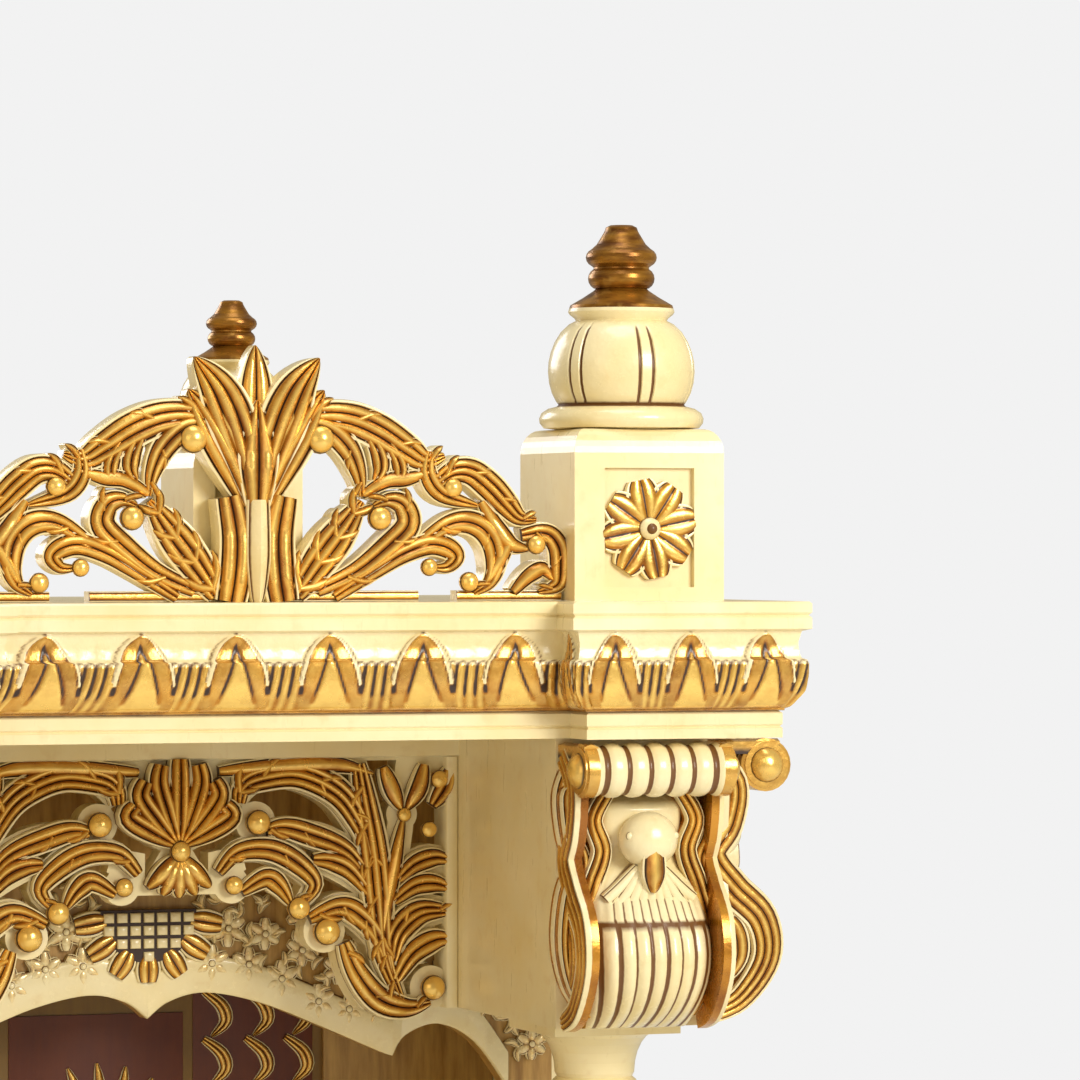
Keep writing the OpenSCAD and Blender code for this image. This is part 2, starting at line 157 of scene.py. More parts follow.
def carvedPaint():
    # gold on the carved face, cream on the edges, painted shade dark in the cuts and a painted highlight on
    # the gold ridges
    made, tree, shader, start = newMaterial("carvedPaint")
    gild = attribute(start, "gild")
    cut = attribute(start, "cut")
    high = attribute(start, "high")
    wear = noise(start, 120, 3, 0.6)
    gilded = (gild + (wear - 0.5) * 0.35).spread(0.4, 0.6)
    # painted shade: the mask that darkens cuts, grooves and relief sides, broken up by the wear noise
    dark = (cut + (wear - 0.5) * 0.3).spread(0.3, 0.75)
    cream = start.mix(dark, creamColour(start), creamLook["creamShade"])
    colour = start.mix(gilded, cream, goldColour(start, dark, high))
    tree.links.new(colour.socket, shader.inputs["Base Color"])
    tree.links.new((gilded * goldLook["metal"] * (1 - dark)).socket, shader.inputs["Metallic"])
    rough = (wear * 0.12 + dark * 0.3 + 0.2).clamp(0.1, 0.9)
    tree.links.new(rough.socket, shader.inputs["Roughness"])
    shader.inputs["Coat Weight"].default_value = creamLook["coat"]
    shader.inputs["Coat Roughness"].default_value = 0.15
    bump = start.node("ShaderNodeBump", Strength=0.25, Distance=0.0015, Height=noise(start, 160, 3))
    tree.links.new(bump.socket, shader.inputs["Normal"])
    return made


def creamPaint():
    # the plain boards: brushed cream lacquer with a faint grain
    made, tree, shader, start = newMaterial("creamPaint")
    grain = noise(start, 18, 5, 0.6, (6, 6, 1))
    colour = start.mix(grain.spread(0.6, 0.85, 0, 0.3), creamColour(start), creamLook["warm"])
    tree.links.new(colour.socket, shader.inputs["Base Color"])
    rough = (grain * 0.2 + 0.2).clamp(0.1, 0.8)
    tree.links.new(rough.socket, shader.inputs["Roughness"])
    shader.inputs["Coat Weight"].default_value = creamLook["coat"]
    shader.inputs["Coat Roughness"].default_value = 0.12
    bump = start.node("ShaderNodeBump", Strength=0.18, Distance=0.001, Height=grain)
    tree.links.new(bump.socket, shader.inputs["Normal"])
    return made


def shadeTanPaint():
    # boards that stay in the shade: cream painted a deeper tan, as painted shade
    made, tree, shader, start = newMaterial("shadeTanPaint")
    grain = noise(start, 14, 5, 0.6, (8, 8, 1))
    colour = start.mix(grain.spread(0.3, 0.75), *wallLook["tan"])
    tree.links.new(colour.socket, shader.inputs["Base Color"])
    tree.links.new((grain * 0.2 + 0.3).socket, shader.inputs["Roughness"])
    bump = start.node("ShaderNodeBump", Strength=0.2, Distance=0.001, Height=grain)
    tree.links.new(bump.socket, shader.inputs["Normal"])
    return made


def wallPaint(name, dark, pale):
    # clouded paint on the back wall
    made, tree, shader, start = newMaterial(name)
    cloud = noise(start, 12, 5, 0.6)
    grain = noise(start, 16, 4, 0.6, (7, 7, 1))
    colour = start.mix((cloud * 0.6 + grain * 0.4).spread(0.3, 0.7), dark, pale)
    tree.links.new(colour.socket, shader.inputs["Base Color"])
    tree.links.new((grain * 0.25 + 0.3).socket, shader.inputs["Roughness"])
    bump = start.node("ShaderNodeBump", Strength=0.2, Distance=0.001, Height=grain)
    tree.links.new(bump.socket, shader.inputs["Normal"])
    return made


def antiqueGold():
    # the finials: old gold, darker in bands and rubbed in spots
    made, tree, shader, start = newMaterial("antiqueGold")
    rings = noise(start, 30, 4, 0.6, (1, 1, 5))
    patch = noise(start, 60, 3, 0.6)
    colour = start.mix(rings.spread(0.35, 0.65), antiqueLook["dark"], antiqueLook["brown"])
    colour = start.mix(patch.spread(0.55, 0.75, 0, 0.6), colour, antiqueLook["rubbed"])
    tree.links.new(colour.socket, shader.inputs["Base Color"])
    tree.links.new((patch * 0.2 + 0.2).socket, shader.inputs["Roughness"])
    shader.inputs["Metallic"].default_value = antiqueLook["metal"]
    bump = start.node("ShaderNodeBump", Strength=0.25, Distance=0.001, Height=rings)
    tree.links.new(bump.socket, shader.inputs["Normal"])
    return made


paints = {
    "carved": carvedPaint(), "cream": creamPaint(), "tan": shadeTanPaint(), "antique": antiqueGold(),
    "olive": wallPaint("olivePaint", *wallLook["olive"]),
    "maroon": wallPaint("maroonPaint", *wallLook["maroon"]),
}
print("paints made:", len(paints))


class Carving:
    # a carved piece, lofted from closed rings whose points each carry their paint
    def __init__(self, name):
        self.name = name
        self.points = []
        self.faces = []
        # marks: painted shade in grooves and on relief sides (with a few real dark lines), gold paint, and a
        # painted highlight
        self.marks = {"cut": [], "gild": [], "high": []}

    def loft(self, rings, loop=False):
        # rings: lists of (point, painted shade, gild, painted highlight), all of one length; a loop needs no
        # end faces
        first = len(self.points)
        count = len(rings[0])
        for ring in rings:
            for point, cut, gild, high in ring:
                self.points.append(point)
                self.marks["cut"].append(cut)
                self.marks["gild"].append(gild)
                self.marks["high"].append(high)
        spans = len(rings) if loop else len(rings) - 1
        for i in range(spans):
            a = first + i * count
            b = first + ((i + 1) % len(rings)) * count
            for j in range(count):
                k = (j + 1) % count
                self.faces.append((a + j, a + k, b + k, b + j))
        if not loop:
            self.faces.append(tuple(first + j for j in reversed(range(count))))
            last = first + (len(rings) - 1) * count
            self.faces.append(tuple(last + j for j in range(count)))

    def finish(self, paint, replaces=(), smooth=50):
        mesh = bpy.data.meshes.new(self.name)
        mesh.from_pydata(self.points, [], self.faces)
        for mark, values in self.marks.items():
            layer = mesh.attributes.new(mark, "FLOAT", "POINT")
            layer.data.foreach_set("value", values)
        made = bpy.data.objects.new(self.name, mesh)
        bpy.context.scene.collection.objects.link(made)
        bpy.ops.object.select_all(action="DESELECT")
        made.select_set(True)
        bpy.context.view_layer.objects.active = made
        bpy.ops.object.mode_set(mode="EDIT")
        bpy.ops.mesh.select_all(action="SELECT")
        bpy.ops.mesh.normals_make_consistent(inside=False)
        bpy.ops.object.mode_set(mode="OBJECT")
        bpy.ops.object.shade_smooth_by_angle(angle=math.radians(smooth))
        made.select_set(False)
        mesh.materials.append(paints[paint])
        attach(made, "root")
        if replaces:
            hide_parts(*replaces)
        print(self.name, len(mesh.vertices), "points")


def smoothPath(points, steps):
    # an even curve through a few points
    found = []
    last = len(points) - 1
    for i in range(last):
        before, near = points[max(i - 1, 0)], points[i]
        far, after = points[i + 1], points[min(i + 2, last)]
        for k in range(steps):
            t = k / steps
            found.append(tuple(0.5 * (2 * q + (r - p) * t + (2 * p - 5 * q + 4 * r - s) * t * t
                                      + (3 * q - p - 3 * r + s) * t ** 3)
                               for p, q, r, s in zip(before, near, far, after)))
    found.append(tuple(points[last]))
    return found


def swell(t, start, middle, end):
    # width along a ribbon, from its root to its tip
    if t < 0.5:
        return start + (middle - start) * math.sin(pi * t)
    return end + (middle - end) * math.sin(pi * t)


class Board:
    # the front view of a flat board: across, up, and out towards the viewer
    def __init__(self, x, y, z, turn=0.0, scale=1.0):
        self.origin = Vector((x, y, z))
        self.right = Vector((math.cos(turn), math.sin(turn), 0))
        self.out = Vector((math.sin(turn), -math.cos(turn), 0))
        self.scale = scale

    def at(self, across, up, out):
        s = self.scale * mm
        return self.origin + self.right * across * s + Vector((0, 0, up * s)) + self.out * out * s


def crossSection(ridges, depth):
    # half-outline across a leaf: place, rise, painted shade, gild, painted highlight; cream edge, painted
    # shade line, gold ridges lit by a painted highlight
    found = [(-1, 0.0, 0.3, 0.0, 0.3), (-0.94, 0.66, 0.0, 0.0, 1.0), (-0.84, 0.72, 0.0, 0.25, 1.0),
             (-0.75, 0.72 - 0.5 * depth, 1.0, 1.0, 0.0)]
    span = 1.5 / ridges
    for r in range(ridges):
        for share in (0.16, 0.5, 0.84):
            v = -0.75 + span * (r + share)
            found.append((v, (0.7 + 0.3 * math.sin(pi * share)) * (1.12 - 0.3 * v * v), 0.0, 1.0,
                          math.sin(pi * share) ** 2))
        v = -0.75 + span * (r + 1)
        found.append((v, 0.95 - 0.25 * v * v - 0.55 * depth, 1.0, 1.0, 0.0))
    return found + [(-v, *rest) for v, *rest in reversed(found[:3])]


def carveRibbon(piece, board, points, width, rise=9, back=0, front=17, ridges=2, root=0.6, tip=0.15,
                mirror=(1, -1), steps=6, depth=0.5, gildTop=1.0, sideShade=0.0, sideGild=0.0):
    # a scroll or leaf: ridged top, with cream, gold or painted-shade dark sides down to the back of the board
    path = smoothPath(points, steps)
    count = len(path)
    section = crossSection(ridges, depth)
    for hand in mirror:
        # neighbours end at slightly different depths, so that their backs don't lie in one plane
        rear = back + (0.37 * abs(points[0][0]) + 0.61 * points[-1][1]) % 1.6 + (0.35 if hand < 0 else 0)
        rings = []
        for i, (x, z) in enumerate(path):
            t = i / (count - 1)
            ahead, behind = path[min(i + 1, count - 1)], path[max(i - 1, 0)]
            dx, dz = ahead[0] - behind[0], ahead[1] - behind[1]
            size = math.hypot(dx, dz) or 1.0
            nx, nz = -dz / size, dx / size
            half = width / 2 * max(swell(t, root, 1.0, tip), 0.04)
            lift = rise * (0.45 + 0.55 * half / (width / 2))

            def spot(v, out):
                return board.at(hand * (x + nx * half * v), z + nz * half * v, out)

            # the sides take painted shade and gold from the side arguments; the top takes the section's
            # painted shade and painted highlight
            ring = [(spot(-1, rear), 0, sideGild, 0.2), (spot(-1, front - 3), sideShade, sideGild, 0.2)]
            ring += [(spot(v, front + lift * up), cut, gild * gildTop, high)
                     for v, up, cut, gild, high in section]
            ring += [(spot(1, front - 3), sideShade, sideGild, 0.2), (spot(1, rear), 0, sideGild, 0.2)]
            rings.append(ring)
        piece.loft(rings)


def carveBall(piece, board, x, z, radius, out, gild=1.0, mirror=(1, -1), rings=10, around=16, ringed=True):
    # a round knob where a scroll curls in
    for hand in mirror:
        loops = []
        for i in range(rings + 1):
            a = -pi / 2 + pi * i / rings
            r = max(radius * math.cos(a), 0.05)
            # one ring of the knob painted dark as its outline, and a painted highlight that grows towards the
            # front
            dark = 0.9 if ringed and i == rings // 2 + 1 else 0.0
            loops.append([(board.at(hand * x + r * math.cos(2 * pi * j / around),
                                    z + r * math.sin(2 * pi * j / around),
                                    out + radius * 0.85 * math.sin(a)), dark, gild, 0.5 + 0.5 * math.sin(a))
                          for j in range(around)])
        piece.loft(loops)


def leafLobes(piece, board, points, width, reach, count, side, start=0.15, end=0.9, **ribbon):
    # short pointed lobes that spring from one side of a leaf's rib
    path = smoothPath(points, 8)
    for i in range(count):
        t = start + (end - start) * (i / max(count - 1, 1))
        k = min(int(t * (len(path) - 1)), len(path) - 2)
        (x0, z0), (x1, z1) = path[k], path[k + 1]
        size = math.hypot(x1 - x0, z1 - z0) or 1.0
        tx, tz = (x1 - x0) / size, (z1 - z0) / size
        nx, nz = -tz * side, tx * side
        size = reach * (1 - 0.45 * t)
        lobe = [(x0 - tx * 4, z0 - tz * 4),
                (x0 + (tx * 0.35 + nx * 0.55) * size, z0 + (tz * 0.35 + nz * 0.55) * size),
                (x0 + (tx * 1.0 + nx * 0.8) * size, z0 + (tz * 1.0 + nz * 0.8) * size)]
        carveRibbon(piece, board, lobe, width * (1 - 0.3 * t), ridges=1, steps=5,
                    root=0.8, tip=0.05, **ribbon)


# crest over the cornice

crestLook = {
    "scroll": {"rise": 9, "front": 17, "back": 0},
    # place across and up, and radius
    "knobs": [(58, 142, 13), (181, 100, 9), (259, 50, 9), (196, 17, 9), (113, 73, 11), (159, 30, 8)],
    "knobOut": 22, "footRails": [(30, 150), (186, 284)],
    # scroll, side, width, reach and count of the small leaves along it
    "lobes": [(0, 1, 11, 20, 4), (2, 1, 10, 15, 4), (1, -1, 9, 16, 4), (6, -1, 10, 20, 4),
              (4, -1, 9, 14, 3), (7, 1, 13, 26, 4), (7, -1, 13, 22, 4), (3, -1, 8, 12, 3)],
}
crestScrolls = [
    # width, ridges, points from the middle and from the base
    (36, 3, [(30, 156), (58, 162), (86, 160), (112, 150), (138, 134), (156, 124), (174, 128)]),
    (26, 2, [(36, 132), (46, 152), (66, 150), (84, 134), (94, 112), (97, 92)]),
    (30, 3, [(166, 104), (181, 114), (198, 114), (215, 102), (231, 86), (244, 74), (260, 72)]),
    (25, 2, [(246, 58), (268, 60), (280, 48), (282, 28), (279, 14), (262, 8)]),
    (27, 2, [(148, 48), (174, 66), (193, 70), (209, 64), (219, 50), (221, 31), (215, 16), (202, 7)]),
    (23, 2, [(72, 4), (111, 28), (135, 42), (159, 50), (176, 47), (184, 39), (176, 30), (162, 30)]),
    (27, 2, [(56, 10), (91, 26), (120, 48), (139, 67), (135, 84), (122, 89), (108, 84)]),
    (38, 3, [(36, 6), (56, 34), (78, 62), (97, 88)]),
    (21, 2, [(160, 132), (158, 112), (172, 94), (206, 84)]),
    (19, 1, [(208, 88), (222, 66), (236, 50), (254, 46)]),
    (17, 1, [(236, 54), (224, 34), (214, 16)]),
    (17, 1, [(98, 94), (120, 106), (140, 108), (166, 116)]),
    (18, 1, [(238, 8), (252, 22), (266, 28), (276, 18)]),
    (20, 2, [(104, 146), (112, 130), (114, 116), (108, 104)]),
    (18, 2, [(122, 138), (130, 124), (132, 112), (126, 102)]),
]
crestLeaves = [
    # palmette, from the vase's mouth: width, points
    (44, [(8, 84), (22, 120), (44, 160), (62, 185)]),
    (48, [(6, 92), (16, 136), (34, 182), (57, 213)]),
]


def makeCrest():
    low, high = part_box("crest")
    piece = Carving("crest_carving")
    board = Board(0, high.y, low.z)
    place = crestLook["scroll"]
    for width, ridges, points in crestScrolls:
        carveRibbon(piece, board, points, width, ridges=ridges, root=0.55, tip=0.2, **place)
    for index, side, width, reach, count in crestLook["lobes"]:
        leafLobes(piece, board, crestScrolls[index][2], width, reach, count, side, **place)
    for x, z, radius in crestLook["knobs"]:
        carveBall(piece, board, x, z, radius, crestLook["knobOut"])
    # palmette: two leaves on each side between a back leaf and a front leaf
    carveRibbon(piece, board, [(0, 120), (0, 160), (0, 196), (0, 224)], 34, rise=9, back=2, front=15,
                ridges=2, root=0.6, tip=0.05, mirror=(1,), steps=8)
    for i, (width, points) in enumerate(crestLeaves):
        carveRibbon(piece, board, points, width, rise=12, back=4, front=17 + 2 * i, ridges=3,
                    root=0.3, tip=0.05, steps=8)
    carveRibbon(piece, board, [(0, 78), (0, 110), (0, 140), (0, 176)], 40, rise=13, back=2, front=20,
                ridges=2, root=0.45, tip=0.05, mirror=(1,), steps=8)
    # vase: a fluted tulip cup, its middle flute left cream as a painted highlight
    for hand in (1, -1):
        carveRibbon(piece, board, [(24, 0), (20, 26), (19, 58), (25, 92)], 34, rise=11, back=2,
                    front=18, ridges=2, root=0.9, tip=0.8, mirror=(hand,))
    carveRibbon(piece, board, [(0, 0), (0, 30), (0, 60), (0, 89)], 24, rise=15, back=2, front=19,
                ridges=1, root=0.45, tip=0.9, mirror=(1,), depth=0.3, gildTop=0.0)
    # foot rail that the scrolls grow from
    for x0, x1 in crestLook["footRails"]:
        carveRibbon(piece, board, [(x0, 5), ((x0 + x1) / 2, 5), (x1, 5)], 9, rise=2, back=0, front=18,
                    ridges=1, root=1.0, tip=1.0, steps=3)
    piece.finish("carved", replaces=("crest",))


# moulding that runs round the cornice: lotus leaves and flutes

corniceLook = {
    "pitch": 86, "leafHalf": 30, "leafTop": 93, "fluteTop": 66, "fluteWidth": 9.6, "bottom": 24,
    "step": 1.6, "levels": 46, "cell": 1.9, "proud": 0.8, "backInset": 26,
}


def corniceFace(z):
    # how far the moulding's face stands in from the cornice's edge, at z over its underside
    if z < 26:
        return 20.0
    if z < 69:
        share = (z - 26) / 43
        return 20 - 16 * math.sin(math.acos(max(1 - share, 0)))
    return 7.5 + 2.5 * math.sin(pi * (z - 69) / 25)


def corniceMark(s, z):
    # the mark averaged over a small patch, so its edges come out even
    spots = [corniceSpot(s + a, z + b) for a in (-0.8, 0, 0.8) for b in (-0.7, 0, 0.7)]
    return [sum(values) / len(spots) for values in zip(*spots)]


def corniceSpot(s, z):
    # relief over the face and the paint there: leaves at every pitch, flutes between them; painted shade in
    # the grooves, veins, gaps, flute hollows and along the bottom, painted highlight on midribs and flute
    # ridges
    look = corniceLook
    u = (s + look["pitch"] / 2) % look["pitch"] - look["pitch"] / 2
    share = max(0.0, (z - 34) / (look["leafTop"] - 34))
    edge = look["leafHalf"] * max(1 - share ** 2.0, 0) ** 0.55 if z > 27 else 0
    inside = edge - abs(u)
    if z < 27.5:
        return 0.5, 0.7 if z < 25.5 else 0.1, 1.0, 0.4
    if inside > 0:
        fade = min(1.0, max(0.0, (z - 32) / 12))
        if inside < 2.8 and z > 48:
            return 3.0, 0.0, 0.0, 1.0
        if inside < 4.6 and z > 40:
            return 2.0, 0.9 * fade, 0.9, 0.1
        stroke = max(0.0, 1 - abs(abs(u) - 0.34 * (look["leafTop"] - 10 - z)) / 2.2)
        if stroke > 0.05 and z > 33:
            return 3.0 - 1.8 * stroke, min(1.0, 1.5 * stroke) * fade, 1.0, 0.4 * (1 - stroke)
        middle = abs(u) < 0.34 * (look["leafTop"] - 10 - z)
        return (3.2, 0.0, 1.0, 0.9) if middle else (2.8, 0.0, 1.0, 0.5)
    if inside > -1.8 and z > 52:
        return 0.0, 0.9, 0.2, 0.0
    lean = (z - 40) * 0.16 * (1 if u > 0 else -1)
    gap = look["pitch"] / 2 - abs(u) + lean
    wave = 0.5 + 0.5 * math.cos(2 * pi * gap / look["fluteWidth"])
    top = look["fluteTop"] + 1.5 * wave
    if z < top:
        fade = min(1.0, max(0.0, (z - 33) / 8))
        cut = min(1.0, max(0.0, 1.15 - 2.1 * wave)) * fade
        return 2.4 * wave * fade, cut, 1.0 if z < top - 2.5 else 0.5, 0.3 + 0.6 * wave
    if z < top + 2.4:
        return 0.2, 0.75, 0.3, 0.2
    # stippled hollow, with painted shade in its deepest specks
    speck = math.sin(s * 0.9 + math.sin(z * 0.8) * 2.4) * math.sin(z * 0.9 + math.sin(s * 0.55) * 2.4)
    return -0.7 * max(speck, 0), 0.42 if speck > 0.8 else 0.0, 0.3 if speck < -0.75 else 0.0, 0.9


def cornicePlan():
    # the cornice's edge, anticlockwise from the front's left end: corners in mm
    low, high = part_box("cornice_right")
    x1, x0 = high.x / mm, low.x / mm
    y0, y1 = low.y / mm, high.y / mm
    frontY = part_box("cornice_front")[0].y / mm
    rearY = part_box("cornice_back")[1].y / mm
    return [(-x1, y0), (-x0, y0), (-x0, frontY), (x0, frontY), (x0, y0), (x1, y0), (x1, y1),
            (x0, y1), (x0, rearY), (-x0, rearY), (-x0, y1), (-x1, y1)]


def makeCorniceSkin():
    corners = cornicePlan()
    z0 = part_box("cornice_front")[0].z / mm
    look = corniceLook
    levels = [look["bottom"] + look["step"] * k for k in range(look["levels"])]
    piece = Carving("cornice_leaves")
    rings = []
    count = len(corners)
    for i in range(count):
        a, b = Vector(corners[i]), Vector(corners[(i + 1) % count])
        before = (a - Vector(corners[i - 1])).normalized()
        along = (b - a).normalized()
        after = (Vector(corners[(i + 2) % count]) - b).normalized()
        length = (b - a).length
        inward = Vector((-along.y, along.x))
        # a mitre moves the face in along both runs: +1 at an outer corner, -1 at an inner one
        mitreA = 1 if before.x * along.y - before.y * along.x > 0 else -1
        mitreB = 1 if along.x * after.y - along.y * after.x > 0 else -1
        cells = max(int(length / look["cell"]), 4)
        bays = max(round(length / look["pitch"]), 1)
        stretch = bays * look["pitch"] / length
        # half a pitch along, so that each bay has its leaf in the middle
        shift = look["pitch"] / 2
        for c in range(cells):
            t = c / cells
            s = t * length
            ring = []
            for z in levels:
                relief, cut, gild, high = corniceMark(s * stretch + shift, z)
                inset = corniceFace(z) - relief - look["proud"]
                cutIn = inset * mitreA * (1 - t) - inset * mitreB * t
                place = a + along * (s + cutIn) + inward * inset
                ring.append((Vector((place.x, place.y, z0 + z)) * mm, cut, gild, high))
            for z in (levels[-1], levels[0]):
                inset = look["backInset"]
                cutIn = inset * mitreA * (1 - t) - inset * mitreB * t
                place = a + along * (s + cutIn) + inward * inset
                ring.append((Vector((place.x, place.y, z0 + z)) * mm, 0, 0, 0))
            rings.append(ring)
    piece.loft(rings, loop=True)
    piece.finish("carved", smooth=60)


# pierced frieze

friezeRibbons = [
    # width, ridges, points from the middle and down from the rail
    (31, 3, [(57, -39), (60, -26), (75, -17), (113, -13), (151, -30), (172, -57), (182, -84),
             (191, -120)]),
    (25, 2, [(38, -102), (56, -84), (86, -82), (113, -95), (130, -115), (114, -136)]),
    (26, 2, [(125, -146), (151, -136), (170, -142), (191, -165), (204, -201)]),
    (29, 2, [(158, -169), (170, -196), (191, -221), (218, -230), (242, -226)]),
    (34, 3, [(172, -5), (178, -39), (186, -84), (191, -129), (197, -183), (216, -228)]),
    (25, 2, [(84, -64), (100, -62), (123, -68), (161, -84), (187, -116)]),
    (23, 2, [(128, -92), (146, -94), (165, -104), (190, -134)]),
    (18, 1, [(194, -165), (200, -130), (208, -90), (216, -52)]),
    (20, 1, [(38, -10), (90, -6), (150, -5), (186, -14)]),
    (20, 1, [(196, -8), (204, -28), (214, -48)]),
    (20, 1, [(236, -6), (230, -28), (218, -48)]),
    (23, 2, [(244, -44), (256, -26), (262, -6)]),
    (22, 2, [(210, -112), (226, -98), (246, -92), (264, -96)]),
    (22, 2, [(206, -132), (226, -118), (246, -116), (264, -122)]),
    (31, 3, [(204, -186), (210, -160), (232, -142), (264, -142)]),
    (26, 2, [(208, -204), (224, -180), (246, -168), (264, -168)]),
    (23, 2, [(60, -120), (82, -108), (96, -116), (108, -134)]),
]


friezeLook = {
    # the ribbons' sides are painted dark: painted shade where they stand off the ground
    "rail": 27, "half": 268, "drop": 231, "scroll": {"rise": 9, "front": 28, "back": 22, "sideShade": 1.0},
    "knobs": [(75, -57, 12), (52, -114, 9), (114, -136, 11), (141, -158, 13), (244, -212, 12), (216, -52, 7),
              (250, -20, 9), (240, -66, 8)],
    "knobOut": 32,
    # ribbon, side, width, reach and count of the small leaves along it
    "lobes": [(0, 1, 12, 20, 5), (0, -1, 10, 16, 3), (5, -1, 10, 15, 3), (2, -1, 11, 18, 4),
              (4, -1, 11, 22, 6), (14, 1, 10, 16, 3), (3, 1, 10, 15, 3), (1, -1, 9, 12, 3)],
}


def makeFrieze():
    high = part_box("frieze")[1]
    piece = Carving("frieze_carving")
    board = Board(0, high.y, high.z - friezeLook["rail"] * mm)
    place = friezeLook["scroll"]
    for width, ridges, points in friezeRibbons:
        carveRibbon(piece, board, points, width, ridges=ridges, root=0.5, tip=0.2, **place)
    for index, side, width, reach, count in friezeLook["lobes"]:
        leafLobes(piece, board, friezeRibbons[index][2], width, reach, count, side, **place)
    for x, z, radius in friezeLook["knobs"]:
        carveBall(piece, board, x, z, radius, friezeLook["knobOut"])
    # shell: seven lobes over a flared joint, their sides painted dark as painted shade
    for i in range(7):
        angle = math.radians(-66 + 22 * i)
        dx, dz = math.sin(angle), math.cos(angle)
        carveRibbon(piece, board, [(dx * 6, -78 + dz * 6), (dx * 30, -76 + dz * 30),
                                   (dx * 52, -74 + dz * 58), (dx * 46, -70 + dz * 72)], 25, rise=12,
                    front=30, back=22, ridges=2, root=0.35, tip=0.75, mirror=(1,), sideShade=1.0)
    for i in range(5):
        angle = math.radians(-40 + 20 * i)
        dx, dz = math.sin(angle), -math.cos(angle)
        carveRibbon(piece, board, [(dx * 4, -84 + dz * 4), (dx * 22, -84 + dz * 22),
                                   (dx * 46, -84 + dz * 40)], 21, rise=10, front=29, back=22, ridges=1,
                    root=0.4, tip=0.3, mirror=(1,), sideShade=1.0)
    carveBall(piece, board, 0, -82, 10, 36, mirror=(1,))
    # plain cream rail and stiles of the frame
    half = friezeLook["half"]
    plain = Carving("frieze_rail")
    for z0, z1 in [(1, 20), (20.4, friezeLook["rail"])]:
        section = [(z0, 1), (z0, 34), (z0 + 1.5, 36), (z1 - 1.5, 36), (z1, 34), (z1, 1)]
        plain.loft([[(board.at(x, z, out), 0, 0, 0) for z, out in section] for x in (-half, half)])
    section = [(half - 0.2, 1), (half - 0.2, 34), (half - 2, 36), (half - 10, 36), (half - 12, 34),
               (half - 12, 1)]
    for hand in (1, -1):
        plain.loft([[(board.at(hand * x, z, out), 0, 0, 0) for x, out in section]
                    for z in (1, -friezeLook["drop"])])
    plain.finish("cream")
    piece.finish("carved")


turretLook = {
    # radius and height up the ball, from the cushion to the collar
    "outline": [(58, 0), (70, 1.5), (73.5, 6), (74, 10), (72, 15), (66, 19), (58.5, 21), (57, 22.5),
                (59, 26), (62.5, 33), (65, 42), (66, 52), (65.5, 61), (63.5, 70), (60, 79), (54.5, 88),
                (47, 95), (41, 98), (42, 100), (46.5, 103.5), (48, 106), (47, 109)],
    "around": 288, "middleScale": 0.704, "flowerUp": 64, "sunk": 6, "petals": 8,
    "cutHalf": 1.6, "cutDepth": 2.2,
}


def makeTurret(name, box, scale, flower=True):
    low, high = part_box(box)
    x, y = (low.x + high.x) / 2, (low.y + high.y) / 2
    # flower in the sunk panel on the front, petal sides painted dark as painted shade
    if flower:
        piece = Carving(f"turret_flower_{name}")
        board = Board(x, low.y + turretLook["sunk"] * mm, low.z + turretLook["flowerUp"] * mm)
        for i in range(turretLook["petals"]):
            angle = 2 * pi * i / turretLook["petals"] + 0.2
            dx, dz = math.cos(angle), math.sin(angle)
            carveRibbon(piece, board, [(dx * 6, dz * 6), (dx * 20, dz * 20), (dx * 34, dz * 34),
                                       (dx * 44, dz * 44)], 35, rise=5, front=2.5, back=-1, ridges=2,
                        root=0.35, tip=0.62, mirror=(1,), depth=0.35, steps=4, sideShade=1.0)
        # a cream boss, then a small boss in the middle painted dark
        carveBall(piece, board, 0, 0, 11, 4, gild=0, mirror=(1,))
        first = len(piece.points)
        carveBall(piece, board, 0, 0, 5, 11.5, gild=0, mirror=(1,), ringed=False)
        for k in range(first, len(piece.points)):
            piece.marks["cut"][k] = 1.0
        piece.finish("carved")
    # cushion, onion ball with pairs of cut meridians, dished collar; the meridians and the neck groove above
    # the cushion are painted dark, as painted shade in the grooves and as the ball's own dark lines
    ball = box.replace("box", "ball")
    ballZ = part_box(ball)[0].z
    piece = Carving(f"turret_ball_{name}_turned")
    around = turretLook["around"]
    rings = []
    for r, z in turretLook["outline"]:
        ring = []
        for j in range(around):
            angle = 2 * pi * j / around + 0.13
            cut, sinkIn = 0.0, 0.0
            if 25 < z < 95:
                u = (angle % (pi / 3)) / (pi / 3)
                gap = min(abs(u - 0.40), abs(u - 0.60)) * pi / 3 * 66
                if gap < turretLook["cutHalf"]:
                    cut, sinkIn = 1.0, turretLook["cutDepth"]
            if 20.5 < z < 23:
                cut, sinkIn = 0.9, 0.5
            k = (r - sinkIn) * scale * mm
            place = Vector((x + k * math.cos(angle), y + k * math.sin(angle), ballZ + z * scale * mm))
            ring.append((place, cut, 0, 0))
        rings.append(ring)
    piece.loft(rings)
    piece.finish("carved", replaces=(ball,), smooth=40)


corbelLook = {
    "frontReach": 79, "sideReach": 92, "rollHalf": 71, "rollRadius": 24, "rollUp": 230, "rollRib": 20.3,
    "bodyHalf": 60, "steps": 40, "rollBack": 25,
    # the S line of the body, top to bottom: out and up at the front corbel's reach
    "body": [(18, 206), (34, 196), (30, 176), (24, 158), (40, 132), (62, 100), (74, 70), (70, 42), (50, 18),
             (20, 2), (4, 0)],
    # across and up
    "neckBand": [(34, 212), (48, 186), (40, 158), (50, 128), (60, 92), (56, 52), (34, 22)],
    # the scrolls on the flanks: out and up
    "flank": [(8, 240), (30, 214), (26, 178), (12, 150), (30, 120), (54, 92), (58, 56), (36, 20), (8, 6)],
    "flankLeaf": [(14, 100), (30, 84), (34, 60), (26, 40)],
}


